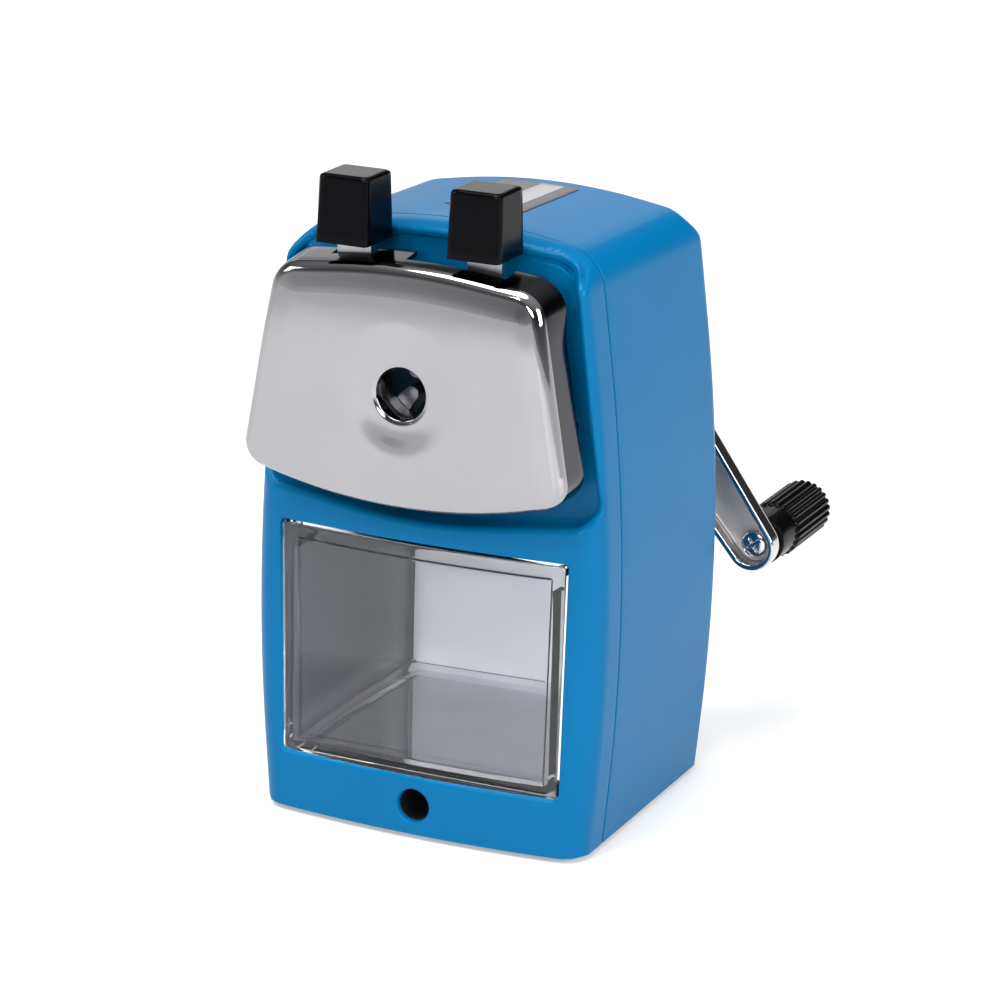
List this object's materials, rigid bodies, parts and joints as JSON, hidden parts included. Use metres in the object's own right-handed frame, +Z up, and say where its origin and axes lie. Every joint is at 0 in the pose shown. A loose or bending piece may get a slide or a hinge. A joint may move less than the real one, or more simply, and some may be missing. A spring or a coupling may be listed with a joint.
{
  "type": "pencil sharpener",
  "caption": "Crank-operated desk pencil sharpener with a pull-out face plate, a squeeze-opened jaw chuck, a planetary helical cutter and a clear shavings drawer.",
  "frame": {"origin": "middle of the body's width and depth on the underside of the rubber base pad", "axes": "+Z up, -Y towards the user (pencil side), +Y towards the crank, +X to the user's right"},
  "size_m": [0.0737, 0.1098, 0.1203],
  "materials": {
    "blue_paint": "gloss enamel",
    "chrome": "bright plating",
    "plated_steel": "plated",
    "spring_steel": "drawn wire",
    "tool_steel": "ground",
    "brass": "turned",
    "black_plastic": "satin moulding",
    "clear_plastic": "transparent moulding",
    "base_rubber": "matt",
    "label": "printed film"
  },
  "bodies": {
    "housing": {"rear_shell": "blue_paint", "front_shell": "blue_paint", "top_label": "label", "base_plate": "plated_steel", "base_pad": "base_rubber", "base_screw_1": "plated_steel", "base_screw_2": "plated_steel", "base_screw_3": "plated_steel", "base_screw_4": "plated_steel", "drawer_bay": "plated_steel", "clamp_socket": "plated_steel", "frame_plate": "plated_steel", "frame_screw_left": "plated_steel", "frame_screw_right": "plated_steel", "guide_bush_left": "brass", "guide_bush_right": "brass", "ring_gear": "tool_steel", "gear_screw_1": "plated_steel", "gear_screw_2": "plated_steel", "gear_screw_3": "plated_steel", "rear_bush": "brass", "bearing_nut": "plated_steel", "return_spring_left": "spring_steel", "return_spring_right": "spring_steel"},
    "carriage": {"faceplate": "chrome", "carriage_plate": "plated_steel", "chuck_base": "plated_steel", "jaw_pin_1": "tool_steel", "jaw_pin_2": "tool_steel", "jaw_pin_3": "tool_steel", "finger_cap_left": "black_plastic", "guide_rod_left": "chrome", "guide_rod_right": "chrome", "rod_stop_left": "plated_steel", "rod_stop_right": "plated_steel", "lever_spring": "spring_steel"},
    "lever": {"chuck_lever": "plated_steel", "finger_cap_right": "black_plastic"},
    "jaw_1": {"chuck_jaw_1": "tool_steel"},
    "jaw_2": {"chuck_jaw_2": "tool_steel"},
    "jaw_3": {"chuck_jaw_3": "tool_steel"},
    "crank": {"cutter_carrier": "tool_steel", "crank_shaft": "plated_steel", "arm_collar": "plated_steel", "arm_nut": "chrome", "crank_arm": "chrome", "grip_screw": "plated_steel", "grip_retainer": "plated_steel"},
    "cutter": {"helical_cutter": "tool_steel", "cutter_pinion": "tool_steel", "cutter_spindle": "plated_steel"},
    "grip": {"grip": "black_plastic", "grip_cap": "black_plastic"},
    "drawer": {"drawer": "clear_plastic"}
  },
  "joints": [
    {"name": "carriage_slide", "type": "slide", "parent": "housing", "child": "carriage", "axis": [0, -1, 0], "range_m": [0, 0.026], "stiffness_N_per_m": 200, "springref_m": -0.01, "deforming": ["return_spring_left", "return_spring_right"]},
    {"name": "lever_squeeze", "type": "hinge", "parent": "carriage", "child": "lever", "pos_m": [0, -0.0308, 0.0841], "axis": [0, -1, 0], "range_deg": [0, 15], "stiffness_Nm_per_rad": 0.08, "springref_deg": -8.59, "deforming": ["lever_spring"]},
    {"name": "jaw_1_swing", "type": "hinge", "parent": "carriage", "child": "jaw_1", "pos_m": [-0.00445, -0.027, 0.09632], "axis": [0, 1, 0], "range_deg": [0, 30]},
    {"name": "jaw_2_swing", "type": "hinge", "parent": "carriage", "child": "jaw_2", "pos_m": [-0.00836, -0.027, 0.07414], "axis": [0, 1, 0], "range_deg": [0, 30]},
    {"name": "jaw_3_swing", "type": "hinge", "parent": "carriage", "child": "jaw_3", "pos_m": [0.0128, -0.027, 0.08184], "axis": [0, 1, 0], "range_deg": [0, 30]},
    {"name": "crank_turn", "type": "hinge", "parent": "housing", "child": "crank", "pos_m": [0, 0, 0.0841], "axis": [0, 1, 0], "continuous": true},
    {"name": "cutter_spin", "type": "hinge", "parent": "crank", "child": "cutter", "pos_m": [0, 0.0475, 0.0841], "axis": [0, 0.9833, -0.1822], "continuous": true},
    {"name": "grip_spin", "type": "hinge", "parent": "crank", "child": "grip", "pos_m": [0.03458, 0.0575, 0.03968], "axis": [0, 1, 0], "continuous": true},
    {"name": "drawer_slide", "type": "slide", "parent": "housing", "child": "drawer", "axis": [0, -1, 0], "range_m": [0, 0.048]}
  ],
  "couplings": [
    {"joint": "jaw_1_swing", "follows": "lever_squeeze", "ratio": 2},
    {"joint": "jaw_2_swing", "follows": "lever_squeeze", "ratio": 2},
    {"joint": "jaw_3_swing", "follows": "lever_squeeze", "ratio": 2},
    {"joint": "cutter_spin", "follows": "crank_turn", "ratio": -3}
  ]
}
